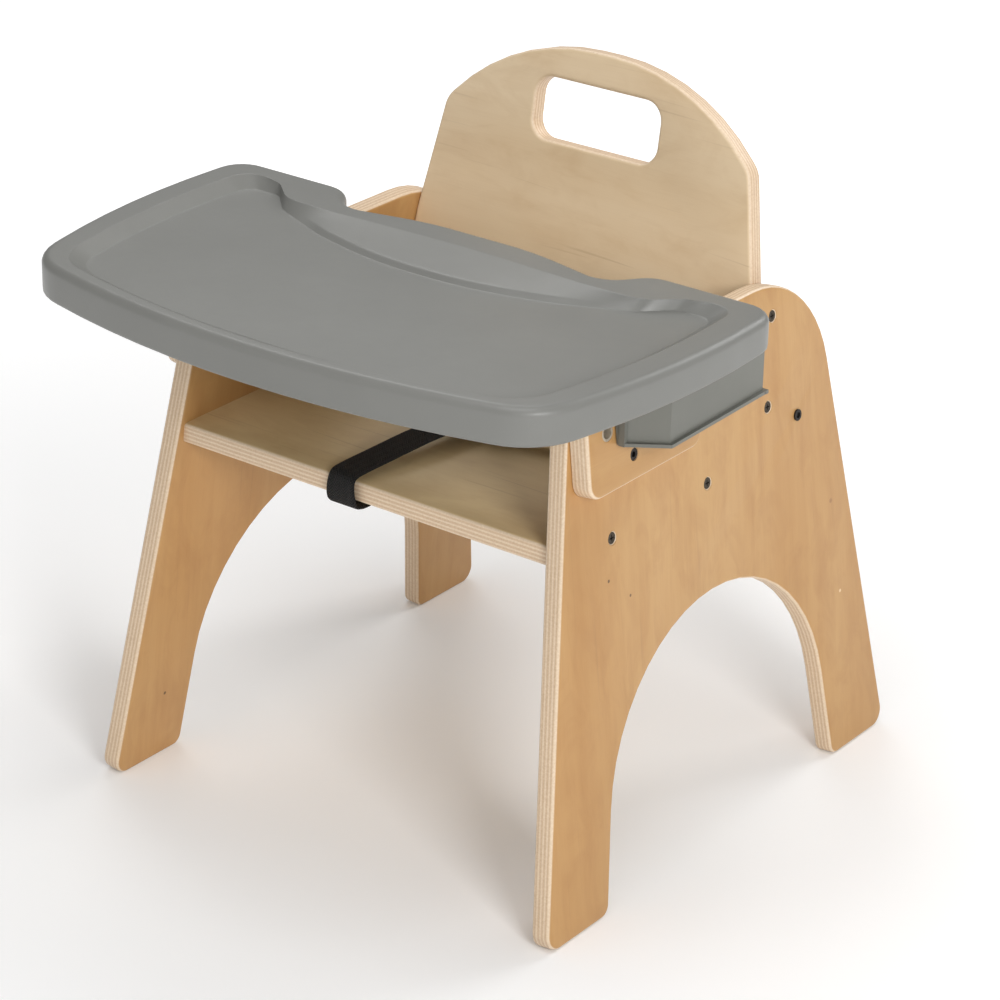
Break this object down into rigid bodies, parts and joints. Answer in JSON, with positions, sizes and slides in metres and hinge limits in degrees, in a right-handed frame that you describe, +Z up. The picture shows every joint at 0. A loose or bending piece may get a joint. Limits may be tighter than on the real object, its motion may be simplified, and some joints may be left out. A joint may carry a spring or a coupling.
{
  "type": "baby high chair",
  "caption": "Low feeding chair with splayed plywood sides, a seat, a backrest with a hand hole, a sliding moulded tray on latched rails and a webbing restraint.",
  "frame": {"origin": "bottom centre of the overall bounding box, on the floor", "axes": "+Z up, the tray side (front) faces -Y, the backrest is towards +Y, +X is to the right of a viewer who looks at the front"},
  "size_m": [0.4706, 0.493, 0.504],
  "materials": {
    "birch_ply": "clear satin lacquer over birch plywood, ply edges showing",
    "tray_plastic": "grey moulded plastic, fine satin texture",
    "housing_plastic": "grey moulded plastic",
    "black_plastic": "black moulded plastic",
    "red_plastic": "red moulded plastic",
    "webbing": "black woven polypropylene webbing",
    "zinc_steel": "zinc plated",
    "bright_steel": "bright steel",
    "black_steel": "black oxide"
  },
  "bodies": {
    "chair": {"left_side_panel": "birch_ply", "right_side_panel": "birch_ply", "seat_board": "birch_ply", "backrest": "birch_ply", "left_tray_rail": "birch_ply", "right_tray_rail": "birch_ply", "left_rail_screws": "black_steel", "right_rail_screws": "black_steel", "rail_inserts": "bright_steel", "seat_screws": "zinc_steel", "backrest_screws": "zinc_steel", "crotch_strap": "webbing", "left_waist_strap": "webbing", "right_waist_strap": "webbing", "crotch_strap_screw": "zinc_steel", "crotch_strap_washer": "zinc_steel", "buckle_front": "black_plastic", "buckle_back": "black_plastic", "left_buckle_tongue": "black_plastic", "right_buckle_tongue": "black_plastic", "left_belt_anchor": "zinc_steel", "right_belt_anchor": "zinc_steel", "belt_anchor_bolts": "black_steel", "belt_anchor_nuts": "zinc_steel"},
    "tray": {"tray_shell": "tray_plastic", "left_latch_housing": "housing_plastic", "right_latch_housing": "housing_plastic", "housing_screws": "zinc_steel", "left_latch_spring": "bright_steel", "right_latch_spring": "bright_steel"},
    "left_latch": {"left_latch_pin": "bright_steel", "left_latch_paddle": "black_plastic", "left_latch_clip": "zinc_steel"},
    "right_latch": {"right_latch_pin": "bright_steel", "right_latch_paddle": "black_plastic", "right_latch_clip": "zinc_steel"},
    "button": {"buckle_button": "red_plastic"}
  },
  "joints": [
    {"name": "tray_slide", "type": "slide", "parent": "chair", "child": "tray", "axis": [0, -1, 0], "range_m": [0, 0.05]},
    {"name": "left_pin_pull", "type": "slide", "parent": "tray", "child": "left_latch", "axis": [-0.9941, 0, 0.1083], "range_m": [0, 0.004], "stiffness_N_per_m": 300, "springref_m": -0.002, "deforming": ["left_latch_spring"]},
    {"name": "right_pin_pull", "type": "slide", "parent": "tray", "child": "right_latch", "axis": [0.9941, 0, 0.1083], "range_m": [0, 0.004], "stiffness_N_per_m": 300, "springref_m": -0.002, "deforming": ["right_latch_spring"]},
    {"name": "buckle_press", "type": "slide", "parent": "chair", "child": "button", "axis": [0, 1, 0], "range_m": [0, 0.002], "stiffness_N_per_m": 600, "springref_m": -0.001}
  ]
}
